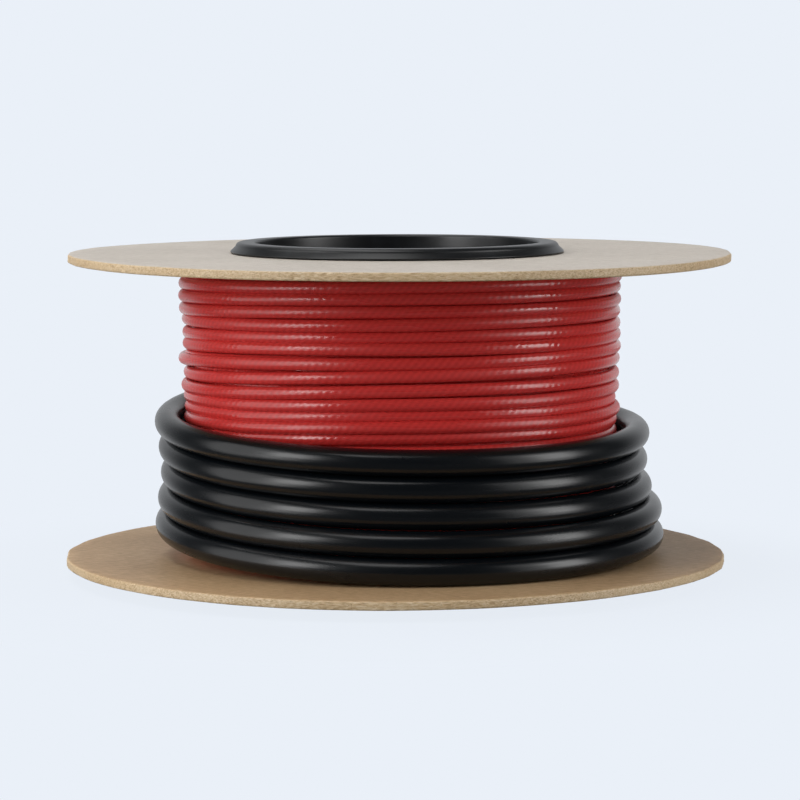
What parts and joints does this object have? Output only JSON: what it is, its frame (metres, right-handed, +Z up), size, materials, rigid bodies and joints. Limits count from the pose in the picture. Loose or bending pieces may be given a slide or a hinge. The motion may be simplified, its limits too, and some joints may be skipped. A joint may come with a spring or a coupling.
{
  "type": "underfloor heating cable reel",
  "caption": "Small reel of thin red underfloor heating cable between two round fibreboards, with its thicker black supply tail wound over the lower half.",
  "frame": {"origin": "centre of the foot, on the reel's axis, in the plane of the lower collar's rim that the reel stands on", "axes": "+Z up along the reel's axis, +X to the picture's right, -Y towards the picture's camera"},
  "size_m": [0.2014, 0.2, 0.1006],
  "materials": {
    "fibreboard": "pressed fibreboard, matt, with a fuzzy punched edge",
    "core_moulding": "black moulded polypropylene, satin",
    "red_jacket": "thin glossy red jacket drawn over a braided screen",
    "black_jacket": "black extruded PVC jacket, semi-gloss, unprinted"
  },
  "bodies": {
    "root": {"flange_top": "fibreboard", "flange_bottom": "fibreboard", "core_top": "core_moulding", "core_bottom": "core_moulding", "heating_cable": "red_jacket", "cold_tail": "black_jacket"}
  },
  "joints": []
}
